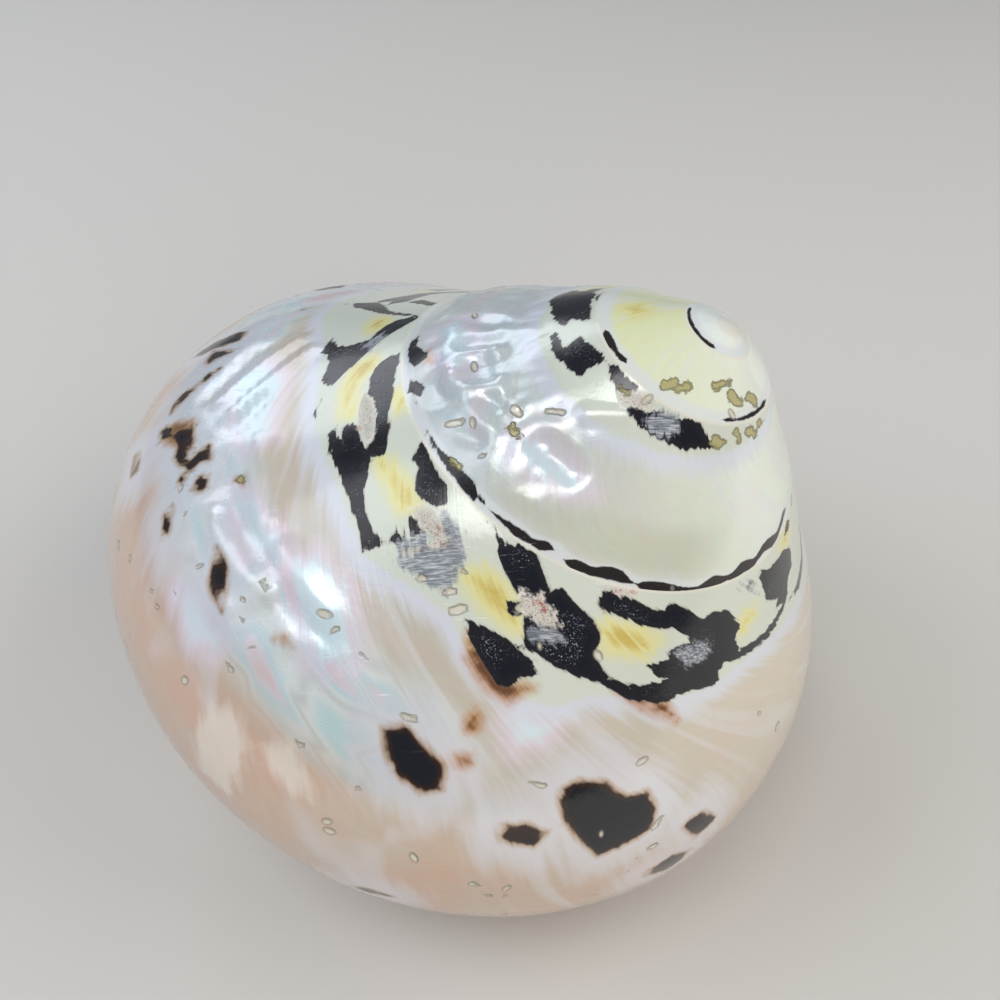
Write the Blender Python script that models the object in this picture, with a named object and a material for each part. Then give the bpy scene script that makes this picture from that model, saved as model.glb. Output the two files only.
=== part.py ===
"""A polished sea-snail shell of the turban and top-shell kind, about 90 mm across, lying on its mouth.

The shell is one piece. Its form is worked out as a snail grows it: a whorl section that turns round
the axis while it gets larger and slides down, each turn hanging from a seam on the turn before.
Sizes are in metres and angles in radians. In the shell's own frame the axis is Z, the tip is at the
origin and the shell hangs below it. A growth angle of 0 is on the last turn, where its seam passes
behind the spire, and larger angles are younger shell, turning clockwise as seen from the tip.
"""

import math

import bmesh
import bpy
import numpy as np
from mathutils import Matrix, Vector

TURN = 2 * math.pi

# The seam between the whorls
SEAM_RADIUS = 0.025  # from the axis, at growth angle 0
SEAM_DROP = 0.0223  # below the tip, at growth angle 0
GROWTH = 0.1192  # share that the seam's radius gains with each radian
GROWTH_FADE = -0.0019
MATURE_FROM = 0.4  # where growth slows down, as it does in an adult
MATURE_RATE = 0.6
DROP_POWER = 1.492  # above 1, so the early whorls are flat and the later ones slide down faster

# The whorl's section at growth angle 0, a circle pulled out of round
SECTION_INSIDE_SEAM = 0.0078  # how much nearer the axis its middle is than its seam
SECTION_BELOW_TIP = 0.0485
SECTION_RADIUS = 0.0299
OVAL = (-0.085, -0.138)  # cosine and sine shares of the second harmonic
SHOULDER = (0.079, 0.015)  # the same of the third
SPREAD = -0.0685  # how much larger against their seam the older sections are
SPREAD_BEND = 0.0076
SPREAD_FROM = -4.7
BASE_LIFT = 0.0113  # how far the base rises from the section to the navel

# How the shell ends
TURNS_BEFORE_MOUTH = 4
YOUNGEST = 2.95
DIVE_FROM = 0.75  # where the seam starts to dive under the turn before
DIVE_ANGLE = math.radians(46)
NAVEL_RADIUS = 0.0028
NAVEL_DEPTH = 0.012

# The mouth's hollow, open downward
WALL = 0.0032
HOLLOW_FROM = -1.0
HOLLOW_LOWERED = 0.006  # its middle, under the whorl section's
HOLLOW_RINGS = 24
HOLLOW_SIDES = 36
HOLLOW_TIP_RINGS = 4
HOLLOW_ROUNDING = 3

# How the shell lies
LEAN = math.radians(28)
LEAN_TOWARDS = math.radians(-14.3)
SPIN = math.radians(172.4)
TIP_HEIGHT = 0.0642  # above the surface it lies on, which has worn half a millimetre off the base

# The mesh
STEPS_PER_TURN = 56
BAND_STEPS = 9
BASE_STEPS = 12
STEP = TURN / STEPS_PER_TURN


def size(t):
    """How large the shell has grown, against its size at growth angle 0."""
    grown = min(t, MATURE_FROM + MATURE_RATE * (t - MATURE_FROM))
    return math.exp(GROWTH * grown + GROWTH_FADE * grown * grown)


def smooth(share):
    share = min(max(share, 0.0), 1.0)
    return share * share * (3 - 2 * share)


def free_seam(t):
    """Distance from the axis and height of the seam, while it still follows its own rule."""
    return np.array([SEAM_RADIUS * size(t), -SEAM_DROP * size(t) ** DROP_POWER])


def section_spread(t):
    bend = min(max(t, SPREAD_FROM), 0.0)
    return size(t) * math.exp(SPREAD * t + SPREAD_BEND * bend * bend)


def section_middle(t, hung_from):
    below_seam = SECTION_BELOW_TIP - SEAM_DROP
    return hung_from - section_spread(t) * np.array([SECTION_INSIDE_SEAM, below_seam])


def section(t, phi, hung_from):
    """A point of the whorl's section. phi is 0 outward, a quarter turn up and minus a quarter down."""
    shape = 1 + OVAL[0] * math.cos(2 * phi) + OVAL[1] * math.sin(2 * phi)
    shape += SHOULDER[0] * math.cos(3 * phi) + SHOULDER[1] * math.sin(3 * phi)
    reach = SECTION_RADIUS * section_spread(t) * shape
    return section_middle(t, hung_from) + reach * np.array([math.cos(phi), math.sin(phi)])


def angle_of(t, hung_from, point):
    middle = section_middle(t, hung_from)
    return math.atan2(point[1] - middle[1], point[0] - middle[0])


def seam(t):
    """The seam, which near the mouth dives under the turn before."""
    free = free_seam(t)
    if t <= DIVE_FROM:
        return free
    older = t - TURN
    dive = smooth((t - DIVE_FROM) / (YOUNGEST - DIVE_FROM))
    low = angle_of(older, free_seam(older), free)
    off_section = free - section(older, low, free_seam(older))
    return section(older, low - DIVE_ANGLE * dive, free_seam(older)) + off_section * (1 - dive)


def navel_angle(t, hung_from):
    """Where the section comes down to the navel's edge, found by halving."""
    near, far = -0.5 * math.pi, -1.02 * math.pi
    for _ in range(24):
        middle = (near + far) / 2
        if section(t, middle, hung_from)[0] > NAVEL_RADIUS:
            near = middle
        else:
            far = middle
    return near


def whorl_row(t):
    """The band from this seam to the next, and the base from there to the navel."""
    top = seam(t)
    next_seam = seam(t + TURN)
    has_base = t > YOUNGEST - TURN + STEP / 2
    phi_top = angle_of(t, top, top)
    if phi_top < 0:
        phi_top += TURN
    if has_base:
        phi_low = angle_of(t, top, free_seam(t + TURN)) - DIVE_ANGLE
        next_seam = section(t, phi_low, top)
    else:
        phi_low = angle_of(t, top, next_seam)
    gap_top = top - section(t, phi_top, top)
    gap_low = next_seam - section(t, phi_low, top)
    band = []
    for step in range(BAND_STEPS + 1):
        share = step / BAND_STEPS
        phi = phi_top + (phi_low - phi_top) * share
        band.append(section(t, phi, top) + gap_top * (1 - share) + gap_low * share)
    phi_navel = navel_angle(t, top)
    base = []
    for step in range(1, BASE_STEPS + 1):
        share = step / BASE_STEPS
        phi = phi_low + (phi_navel - phi_low) * share
        lift = BASE_LIFT * section_spread(t) * share * share
        base.append(section(t, phi, top) + gap_low * (1 - share) + np.array([0, lift]))
    return band, base


def on_turn(t, point):
    """The place in the shell's own frame of a point of the section at growth angle t."""
    return Vector((point[0] * math.cos(t), -point[0] * math.sin(t), point[1]))


def new_object(name, build):
    mesh = bpy.data.meshes.new(name)
    form = bmesh.new()
    build(form)
    bmesh.ops.recalc_face_normals(form, faces=form.faces)
    form.to_mesh(mesh)
    form.free()
    made = bpy.data.objects.new(name, mesh)
    bpy.context.scene.collection.objects.link(made)
    return made


def build_whorls(form):
    """The outer surface: a band for each turn, the base under the last one, and a flat end to cut."""
    last = TURNS_BEFORE_MOUTH * STEPS_PER_TURN
    base_from = last - STEPS_PER_TURN
    angles = [YOUNGEST - (last - i) * STEP for i in range(last + 1)]
    rows = [whorl_row(t) for t in angles]
    bands = []
    bases = []
    for t, (band, _) in zip(angles, rows):
        bands.append([form.verts.new(on_turn(t, point)) for point in band[:-1]])
    for i, (t, (band, base)) in enumerate(zip(angles, rows)):
        younger = i + STEPS_PER_TURN
        shared = bands[younger][0] if younger <= last else form.verts.new(on_turn(t, band[-1]))
        bands[i].append(shared)
        made = [form.verts.new(on_turn(t, point)) for point in base] if i >= base_from else []
        bases.append([shared] + made)
    for i in range(last):
        for j in range(BAND_STEPS):
            form.faces.new((bands[i][j], bands[i][j + 1], bands[i + 1][j + 1], bands[i + 1][j]))
    for i in range(base_from, last):
        for j in range(BASE_STEPS):
            form.faces.new((bases[i][j], bases[i][j + 1], bases[i + 1][j + 1], bases[i + 1][j]))
    tip = form.verts.new((0, 0, 0))
    tip_loop = [bands[i][0] for i in range(STEPS_PER_TURN + 1)] + bands[0][-2:0:-1]
    for a, b in zip(tip_loop, tip_loop[1:] + tip_loop[:1]):
        form.faces.new((a, b, tip))
    navel = form.verts.new((0, 0, bases[base_from][-1].co.z + NAVEL_DEPTH))
    for i in range(base_from, last):
        form.faces.new((bases[i][-1], bases[i + 1][-1], navel))
    end = bands[last][:-1] + bases[last] + [navel] + bases[base_from][:0:-1]
    form.faces.new(end)


def nearest_crossing(start, direction, outline):
    """How far a ray from start goes before it meets the closed outline."""
    nearest = math.inf
    for a, b in zip(outline, outline[1:] + outline[:1]):
        along = b - a
        turned = direction[0] * along[1] - direction[1] * along[0]
        if abs(turned) < 1e-12:
            continue
        to_a = a - start
        reach = (to_a[0] * along[1] - to_a[1] * along[0]) / turned
        share = (to_a[0] * direction[1] - to_a[1] * direction[0]) / turned
        if reach > 0 and 0 <= share <= 1:
            nearest = min(nearest, reach)
    return nearest


def inside_ring(t):
    """A closed ring one wall inside the whorl, between its outer side, its base and the turn before it."""
    band, base = whorl_row(t)
    _, older_base = whorl_row(t - TURN)
    outline = band + base + older_base[::-1]
    middle = section_middle(t, seam(t)) - np.array([0, HOLLOW_LOWERED * section_spread(t)])
    bearings = np.linspace(-math.pi, math.pi, HOLLOW_SIDES, endpoint=False)
    arms = [np.array([math.cos(bearing), math.sin(bearing)]) for bearing in bearings]
    reaches = np.array([nearest_crossing(middle, arm, outline) for arm in arms]) - WALL
    for _ in range(HOLLOW_ROUNDING):
        beside = (np.roll(reaches, 1) + np.roll(reaches, -1)) / 2
        reaches = np.minimum(reaches, (reaches + beside) / 2)
    return middle, [middle + reach * arm for reach, arm in zip(reaches, arms)]


def build_hollow(form):
    rings = []
    span = YOUNGEST + STEP / 2 - HOLLOW_FROM
    for step in range(HOLLOW_RINGS + 1):
        t = HOLLOW_FROM + span * step / HOLLOW_RINGS
        middle, ring = inside_ring(t)
        closing = min(1.0, (step + 0.5) / HOLLOW_TIP_RINGS)
        share = math.sqrt(1 - (1 - closing) ** 2)
        rings.append([form.verts.new(on_turn(t, middle + share * (point - middle))) for point in ring])
    for older, younger in zip(rings, rings[1:]):
        for side in range(HOLLOW_SIDES):
            following = (side + 1) % HOLLOW_SIDES
            form.faces.new((older[side], older[following], younger[following], younger[side]))
    form.faces.new(rings[0])
    form.faces.new(rings[-1])


def floor_block():
    """All that is below the surface the shell lies on."""
    block = new_object("floor_block", lambda form: bmesh.ops.create_cube(form, size=1))
    block.data.transform(Matrix.Translation((0, 0, -0.5)))
    return block


def cut(target, cutter):
    modifier = target.modifiers.new(cutter.name, "BOOLEAN")
    modifier.operation = "DIFFERENCE"
    modifier.object = cutter
    cutter.hide_render = True
    cutter.display_type = "WIRE"


def shell_material():
    material = bpy.data.materials.new("nacre")
    material.use_nodes = True
    shader = material.node_tree.nodes["Principled BSDF"]
    shader.inputs["Base Color"].default_value = (0.78, 0.66, 0.56, 1)
    shader.inputs["Roughness"].default_value = 0.22
    shader.inputs["Metallic"].default_value = 0
    return material


def lying_down():
    """Turns the shell from its own frame to how it lies, with its tip leaning aside."""
    lean = Matrix.Rotation(LEAN_TOWARDS, 4, "Z") @ Matrix.Rotation(LEAN, 4, "Y")
    return lean @ Matrix.Rotation(SPIN, 4, "Z")


def main():
    for old in list(bpy.data.objects):
        bpy.data.objects.remove(old)
    shell = new_object("turban_shell", build_whorls)
    hollow = new_object("mouth_hollow", build_hollow)
    for made in (shell, hollow):
        made.data.transform(Matrix.Translation((0, 0, TIP_HEIGHT)) @ lying_down())
    kept = np.array([vertex.co[:2] for vertex in shell.data.vertices if vertex.co.z > 0])
    aside = (kept.min(axis=0) + kept.max(axis=0)) / 2
    for made in (shell, hollow):
        made.data.transform(Matrix.Translation((-aside[0], -aside[1], 0)))
    shell.data.materials.append(shell_material())
    shell.data.shade_smooth()
    cut(shell, hollow)
    cut(shell, floor_block())


main()
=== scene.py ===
import math
import random

import bmesh
import bpy
import numpy as np
from mathutils import Matrix, Vector


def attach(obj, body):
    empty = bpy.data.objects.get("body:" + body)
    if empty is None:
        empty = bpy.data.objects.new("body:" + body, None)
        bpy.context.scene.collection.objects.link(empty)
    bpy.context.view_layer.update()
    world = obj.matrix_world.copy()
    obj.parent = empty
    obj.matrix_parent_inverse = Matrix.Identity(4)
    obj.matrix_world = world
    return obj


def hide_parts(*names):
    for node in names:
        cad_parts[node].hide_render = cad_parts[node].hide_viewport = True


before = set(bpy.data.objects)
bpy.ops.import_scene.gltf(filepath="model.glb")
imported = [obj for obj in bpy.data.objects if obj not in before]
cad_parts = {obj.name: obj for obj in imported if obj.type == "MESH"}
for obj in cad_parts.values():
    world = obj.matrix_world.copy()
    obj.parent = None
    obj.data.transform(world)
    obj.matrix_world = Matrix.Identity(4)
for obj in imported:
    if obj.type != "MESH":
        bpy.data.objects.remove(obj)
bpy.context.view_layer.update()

# The shell's growth. The real piece is one sea-snail shell, a tube of mother-of-pearl that the animal
# laid down along its lip while it grew, so the form is one whorl section that turns round the axis,
# gets larger and slides down. Each row here is one stage of growth, hung from the seam on the turn
# before. Sizes are in metres and growth angles in radians, 0 where the last seam goes behind the spire.
TURN = 2 * math.pi
SEAM_RADIUS = 0.025
SEAM_DROP = 0.0223
GROWTH = 0.1192
GROWTH_FADE = -0.0019
MATURE_FROM = 0.4
MATURE_RATE = 0.6
DROP_POWER = 1.492
SECTION_INSIDE_SEAM = 0.0078
SECTION_BELOW_TIP = 0.0485
SECTION_RADIUS = 0.0299
OVAL = (-0.085, -0.138)
SHOULDER = (0.079, 0.015)
SPREAD = -0.0685
SPREAD_BEND = 0.0076
SPREAD_FROM = -4.7
BASE_LIFT = 0.0113
TURNS_BEFORE_MOUTH = 4
YOUNGEST = 2.95
DIVE_FROM = 0.75
DIVE_ANGLE = math.radians(46)
NAVEL_RADIUS = 0.0028
NAVEL_DEPTH = 0.012
STEPS_PER_TURN = 400
BAND_STEPS = 48
BASE_STEPS = 30
STEP = TURN / STEPS_PER_TURN


def size(t):
    grown = min(t, MATURE_FROM + MATURE_RATE * (t - MATURE_FROM))
    return math.exp(GROWTH * grown + GROWTH_FADE * grown * grown)


def smooth(share):
    share = min(max(share, 0.0), 1.0)
    return share * share * (3 - 2 * share)


def free_seam(t):
    return np.array([SEAM_RADIUS * size(t), -SEAM_DROP * size(t) ** DROP_POWER])


def section_spread(t):
    bend = min(max(t, SPREAD_FROM), 0.0)
    return size(t) * math.exp(SPREAD * t + SPREAD_BEND * bend * bend)


def section_middle(t, hung_from):
    below_seam = SECTION_BELOW_TIP - SEAM_DROP
    return hung_from - section_spread(t) * np.array([SECTION_INSIDE_SEAM, below_seam])


def section(t, phi, hung_from):
    shape = 1 + OVAL[0] * math.cos(2 * phi) + OVAL[1] * math.sin(2 * phi)
    shape += SHOULDER[0] * math.cos(3 * phi) + SHOULDER[1] * math.sin(3 * phi)
    reach = SECTION_RADIUS * section_spread(t) * shape
    return section_middle(t, hung_from) + reach * np.array([math.cos(phi), math.sin(phi)])


def angle_of(t, hung_from, point):
    middle = section_middle(t, hung_from)
    return math.atan2(point[1] - middle[1], point[0] - middle[0])


def seam(t):
    free = free_seam(t)
    if t <= DIVE_FROM:
        return free
    older = t - TURN
    dive = smooth((t - DIVE_FROM) / (YOUNGEST - DIVE_FROM))
    low = angle_of(older, free_seam(older), free)
    off_section = free - section(older, low, free_seam(older))
    return section(older, low - DIVE_ANGLE * dive, free_seam(older)) + off_section * (1 - dive)


def navel_angle(t, hung_from):
    near, far = -0.5 * math.pi, -1.02 * math.pi
    for _ in range(24):
        middle = (near + far) / 2
        if section(t, middle, hung_from)[0] > NAVEL_RADIUS:
            near = middle
        else:
            far = middle
    return near


def whorl_row(t, band_shares, base_shares):
    """The band from this seam to the next, and the base from there to the navel."""
    top = seam(t)
    next_seam = seam(t + TURN)
    phi_top = angle_of(t, top, top)
    if phi_top < 0:
        phi_top += TURN
    if t > YOUNGEST - TURN + STEP / 2:
        phi_low = angle_of(t, top, free_seam(t + TURN)) - DIVE_ANGLE
        next_seam = section(t, phi_low, top)
    else:
        phi_low = angle_of(t, top, next_seam)
    gap_top = top - section(t, phi_top, top)
    gap_low = next_seam - section(t, phi_low, top)
    band = []
    for share in band_shares:
        phi = phi_top + (phi_low - phi_top) * share
        band.append(section(t, phi, top) + gap_top * (1 - share) + gap_low * share)
    phi_navel = navel_angle(t, top)
    base = []
    for share in base_shares:
        phi = phi_low + (phi_navel - phi_low) * share
        lift = BASE_LIFT * section_spread(t) * share * share
        base.append(section(t, phi, top) + gap_low * (1 - share) + np.array([0, lift]))
    return band, base


# The columns lie closer together near the upper seam, where the markings are finest.
even = np.linspace(0, 1, BAND_STEPS + 1)
band_shares = 0.45 * even + 0.55 * even * even
base_shares = np.linspace(0, 1, BASE_STEPS + 1)[1:]
LAST = TURNS_BEFORE_MOUTH * STEPS_PER_TURN
BASE_FROM = LAST - STEPS_PER_TURN
COLUMNS = BAND_STEPS + BASE_STEPS
growth_angles = YOUNGEST - (LAST - np.arange(LAST + 1)) * STEP
profile = np.full((LAST + 1, COLUMNS + 1, 2), np.nan)
for i, t in enumerate(growth_angles):
    band, base = whorl_row(t, band_shares, base_shares if i >= BASE_FROM else [])
    profile[i, : len(band) + len(base)] = band + base
steps_down = np.linalg.norm(np.diff(profile, axis=1), axis=2) * 1000
below_seam = np.concatenate([np.zeros((LAST + 1, 1)), np.cumsum(steps_down, axis=1)], axis=1)
band_width = below_seam[:, BAND_STEPS]
on_axis = np.stack(
    [
        profile[:, :, 0] * np.cos(growth_angles)[:, None],
        -profile[:, :, 0] * np.sin(growth_angles)[:, None],
        profile[:, :, 1],
    ],
    axis=2,
) * 1000


# The markings. The living shell has a thin skin of black, white and ochre over the mother-of-pearl. It is
# ground away over most of this one, and is left in a ragged band under each seam and in spots lower down.
# A patch is an outline of (degrees of growth, mm below the seam) corners.
SKIN_EDGE = (
    (-911, -2.0), (-600, -2.0), (-551, 0.5), (-500, 2.6), (-456, 4.5), (-415, 6.0), (-380, 6.5),
    (-345, 6.0), (-300, 8.0), (-250, 9.5), (-196, 13.9), (-188, 12.6), (-177, 11.5), (-165, 10.3),
    (-148, 9.6), (-135, 10.7), (-124, 11.4), (-117, 10.6), (-108, 11.0), (-103, 12.6), (-97, 13.2),
    (-90, 12.6), (-83, 11.4), (-77, 9.8), (-68, 10.0), (-59, 11.1), (-44, 9.9), (-30, 10.3), (-18, 9.8),
    (-5, 10.5), (8, 14.3), (16, 15.5), (50, 13.0), (90, 14.0), (130, 12.0), (169, 12.0),
)
BLACK_FLAMES = (
    ((13, 11.6), (16, 12.6), (17, 9.0), (14, 6.8), (11, 5.4), (8, 0.6), (8, 2.9), (10, 6.3), (12, 9.5)),
    ((18, 5.0), (20, 3.4), (18, 0.3), (15, 0.5)),
    ((-7, 10.3), (-1, 9.5), (-6, 8.4), (-6, 6.5), (-4, 4.7), (2, 3.7), (5, 2.6), (8, 0.3), (4, 0.6),
     (-5, 3.2), (-14, 5.7), (-19, 7.9), (-17, 9.0), (-12, 8.6), (-8, 9.1)),
    ((-10, 0.6), (-14, 0.4), (-25, 1.3), (-34, 2.5), (-41, 3.8), (-42, 5.5), (-39, 5.3), (-35, 4.0),
     (-29, 3.3), (-24, 3.8), (-19, 3.6), (-15, 2.9), (-12, 1.6)),
    ((-30, 7.6), (-36, 7.8), (-31, 6.6), (-31, 5.8), (-35, 5.5), (-40, 5.2), (-44, 6.2), (-47, 7.4),
     (-53, 8.5), (-59, 8.8), (-58, 10.5), (-54, 9.6), (-48, 9.0), (-40, 8.7), (-36, 9.0), (-32, 8.6)),
    ((-22, 8.9), (-26, 9.3), (-28, 9.9), (-24, 9.5)),
    ((-41, 0.1), (-50, 0.6), (-55, 0.8), (-59, 1.8), (-58, 3.0), (-52, 3.4), (-50, 2.6), (-48, 1.8),
     (-45, 2.0)),
    ((-56, 4.9), (-59, 4.7), (-61, 5.0), (-61, 6.2), (-58, 5.7)),
    ((-57, 6.9), (-60, 6.8), (-61, 7.6), (-59, 8.0)),
    ((-66, 0.3), (-75, 1.0), (-78, 0.3), (-81, 0.3), (-87, 1.8), (-89, 2.7), (-91, 2.0), (-95, 2.7),
     (-101, 3.7), (-105, 4.8), (-105, 6.8), (-110, 8.6), (-117, 9.2), (-121, 8.7), (-126, 8.9),
     (-120, 8.0), (-117, 7.2), (-123, 6.6), (-120, 6.0), (-124, 5.4), (-129, 4.9), (-122, 3.7),
     (-112, 3.3), (-104, 2.7), (-101, 2.2), (-99, 1.2), (-102, 0.5), (-108, 1.1), (-117, 2.0),
     (-118, 1.2), (-123, 1.5), (-130, 3.0), (-133, 2.5), (-139, 2.9), (-144, 5.2), (-142, 6.6),
     (-144, 7.8), (-154, 8.2), (-168, 7.8), (-168, 8.4), (-156, 9.2), (-145, 8.8), (-139, 8.4),
     (-137, 9.4), (-139, 10.4), (-130, 10.1), (-124, 10.8), (-118, 10.7), (-108, 9.3), (-98, 8.8),
     (-91, 8.0), (-88, 6.2), (-86, 4.4), (-79, 3.3), (-74, 2.1), (-74, 1.4)),
    ((-83, 5.1), (-85, 4.9), (-87, 6.0), (-85, 6.1)),
    ((-79, 8.7), (-82, 8.3), (-88, 8.3), (-93, 8.9), (-97, 10.3), (-94, 10.7), (-94, 12.2), (-91, 12.2),
     (-86, 10.8)),
    ((-151, 0.9), (-157, 1.8), (-169, 2.4), (-175, 3.6), (-175, 6.0), (-171, 6.2), (-169, 8.1),
     (-161, 7.1), (-163, 6.4), (-156, 4.8)),
    ((-170, 0.9), (-175, 1.6), (-178, 1.4), (-175, 0.4)),
    ((-168, 8.6), (-178, 9.6), (-188, 9.8), (-196, 7.5), (-196, 9.5), (-188, 11.0), (-178, 10.6)),
    ((-362, 19.9), (-370, 19.0), (-376, 17.2), (-378, 19.2), (-372, 20.2)),
    ((-382, 19.3), (-386, 17.8), (-389, 18.4), (-386, 19.6)),
    ((-398, 18.9), (-407, 17.9), (-418, 17.0), (-424, 17.6), (-421, 18.2), (-412, 18.4), (-404, 18.8)),
    ((-350, 5.8), (-343, 5.9), (-338, 4.8), (-341, 2.4), (-346, 0.9), (-354, 0.9), (-363, 0.7),
     (-371, 0.8), (-372, 1.6), (-369, 2.6), (-374, 3.4), (-368, 4.3), (-360, 4.9)),
    ((-344, 0.3), (-352, 0.7), (-356, 0.3)),
    ((-378, 4.8), (-376, 4.2), (-388, 3.8), (-383, 2.1), (-388, 1.6), (-396, 0.9), (-402, 0.9),
     (-402, 2.7), (-404, 3.6), (-398, 4.1), (-388, 4.9)),
    ((-403, 0.9), (-407, 0.3), (-416, 0.4), (-423, 0.2), (-424, 1.2), (-419, 1.9), (-414, 1.7),
     (-409, 1.3)),
    ((-429, 2.5), (-438, 3.1), (-450, 3.1), (-460, 3.2), (-479, 2.2), (-470, 1.3), (-464, 0.4),
     (-456, 0.3), (-448, 1.0), (-440, 0.9), (-436, 1.7), (-431, 1.4)),
)
OCHRE_PATCHES = (
    ((3, 5.9), (7, 5.6), (6, 4.3), (2, 3.9), (0, 5.3)),
    ((-11, 3.6), (-15, 2.9), (-19, 4.9), (-28, 5.9), (-28, 6.6), (-21, 6.3), (-14, 5.6)),
    ((-26, 1.4), (-25, 0.6), (-29, 0.2), (-31, 1.0)),
    ((-42, 5.0), (-43, 4.1), (-52, 3.6), (-55, 4.2), (-54, 5.3), (-47, 4.8)),
    ((-73, 5.6), (-75, 4.3), (-80, 4.3), (-87, 6.2), (-88, 7.0), (-80, 6.6)),
    ((-104, 4.4), (-108, 3.6), (-114, 3.9), (-118, 5.0), (-116, 5.9), (-107, 5.9)),
    ((-142, 5.2), (-146, 4.5), (-150, 4.9), (-145, 6.0)),
    ((-168, 1.2), (-172, 1.0), (-176, 1.8), (-170, 2.0)),
    ((-719, 6.0), (-712, 4.5), (-722, 3.6), (-728, 5.0)),
)
CHALK = (
    ((-24, 4.2), (-29, 5.0), (-36, 5.2), (-37, 4.4), (-32, 3.6), (-26, 3.5)),
    ((-84, 4.2), (-88, 3.2), (-93, 4.0), (-96, 5.4), (-91, 5.9), (-86, 5.3)),
    ((-55, 4.4), (-58, 3.3), (-63, 3.4), (-69, 4.0), (-66, 5.2), (-62, 8.3), (-61, 7.6), (-63, 5.2)),
    ((-98, 0.5), (-101, 0.2), (-109, 0.2), (-107, 0.8)),
    ((-419, 1.9), (-424, 0.8), (-430, 0.3), (-436, 0.3), (-438, 1.2), (-432, 1.8), (-426, 2.6)),
)
RED_CRUST = (
    ((-60, 4.4), (-62, 4.0), (-66, 4.5), (-63, 4.9)),
    ((-87, 4.0), (-90, 3.7), (-93, 4.5), (-90, 4.7)),
    ((-31, 5.2), (-34, 4.6), (-35, 5.2)),
    ((-103, 0.4), (-106, 0.2), (-108, 0.5)),
)
WORN_GREY = (
    ((-59, 3.0), (-61, 2.4), (-66, 2.7), (-71, 4.4), (-74, 8.0), (-66, 8.7), (-62, 8.8), (-63, 6.9),
     (-67, 4.2)),
    ((-60, 7.6), (-61, 5.0), (-63, 5.2), (-62, 8.2)),
    ((-89, 6.8), (-93, 5.7), (-97, 5.7), (-98, 6.5), (-92, 7.5)),
    ((-123, 6.0), (-128, 5.2), (-133, 5.3), (-134, 7.0), (-128, 7.8)),
    ((-142, 0.8), (-148, 1.2), (-153, 3.6), (-146, 1.9)),
    ((-6, 5.2), (-1, 3.4), (-3, 2.6), (-9, 4.2)),
    ((-438, 2.4), (-441, 0.7), (-449, 0.5), (-456, 1.6), (-452, 2.8), (-443, 2.9)),
)
BODY_SPOTS = (
    ((-81, 20.5), (-84, 19.6), (-87, 20.1), (-91, 21.0), (-93, 22.9), (-91, 24.0), (-87, 23.6),
     (-84, 22.4)),
    ((-109, 19.8), (-111, 18.7), (-116, 18.6), (-121, 20.1), (-124, 19.7), (-127, 21.7), (-127, 24.0),
     (-120, 26.4), (-116, 24.8), (-112, 22.4)),
    ((-103, 24.5), (-106, 23.7), (-110, 24.2), (-109, 25.8), (-105, 25.7)),
    ((-134, 24.7), (-138, 24.1), (-142, 26.2), (-140, 27.6), (-136, 25.9)),
    ((-131, 31.0), (-135, 29.2), (-140, 30.4), (-138, 32.7), (-134, 32.0)),
    ((-45, 22.3), (-49, 22.2), (-54, 24.5), (-50, 24.7), (-47, 23.4)),
    ((-35, 26.1), (-39, 27.0), (-40, 28.1), (-36, 27.4)),
    ((-22, 23.7), (-25, 23.4), (-29, 24.8), (-27, 25.5), (-25, 25.1), (-23, 26.2)),
    ((-20, 26.8), (-22, 26.5), (-23, 28.3), (-20, 28.3)),
    ((-27, 21.2), (-30, 21.2), (-30, 23.0), (-33, 25.3), (-29, 23.9)),
    ((-33, 21.7), (-35, 22.0), (-34, 23.4), (-33, 22.8)),
    ((-13, 25.9), (-15, 25.5), (-17, 27.4), (-15, 27.7)),
    ((-22, 31.8), (-25, 31.6), (-25, 33.0), (-22, 33.0)),
    ((-2, 29.9), (1, 27.2), (2, 22.7), (-1, 22.6), (-3, 27.5)),
    ((-7, 25.6), (-4, 25.4), (-4, 22.0), (-6, 23.5)),
    ((-14, 24.9), (-10, 24.0), (-9, 22.4), (-12, 23.6)),
    ((-93, 42.2), (-96, 41.6), (-98, 39.6), (-95, 40.0)),
)
AMBER_PATCHES = (
    ((-81, 9.6), (-88, 10.6), (-93, 11.4), (-97, 11.2), (-95, 13.4), (-90, 13.2), (-84, 11.6)),
    ((-112, 9.6), (-118, 10.2), (-124, 10.6), (-128, 13.0), (-125, 12.3), (-119, 11.3)),
    ((-90, 16.9), (-90, 15.2), (-92, 15.4), (-93, 17.0), (-91, 17.4)),
    ((-91, 20.2), (-94, 19.0), (-95, 19.7), (-93, 20.5)),
    ((-61, 21.7), (-62, 20.8), (-64, 21.1)),
    ((-26, 23.9), (-24, 27.2), (-20, 27.0), (-21, 23.6)),
    ((-35, 18.6), (-37, 17.8), (-35, 17.6)),
    ((-374, 17.5), (-378, 16.9), (-377, 17.9)),
)

# Patches of painted iridescent sheen and highlight on the nacre: cyan and white with a pink edge. Low on
# the body it has cream blotches.
SHEEN_PATCHES = (
    ((-414, 11.8), (-417, 10.2), (-431, 9.8), (-440, 10.3), (-437, 11.5), (-427, 12.2), (-420, 12.4)),
    ((-37, 20.1), (-39, 17.8), (-48, 16.7), (-53, 17.0), (-50, 18.9), (-44, 19.7)),
    ((-53, 16.6), (-54, 14.0), (-61, 13.8), (-69, 16.6), (-71, 18.2), (-68, 20.9), (-61, 18.8)),
    ((-14, 19.4), (-9, 16.8), (-15, 13.4), (-29, 14.8), (-30, 17.1)),
    ((-48, 28.2), (-50, 26.5), (-57, 26.1), (-58, 27.9), (-54, 29.1)),
    ((-365, 16.9), (-360, 14.9), (-373, 12.5), (-385, 13.8), (-381, 15.4)),
    ((-96, 14.8), (-100, 13.8), (-104, 13.8), (-103, 15.6), (-99, 16.6)),
)
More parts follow.
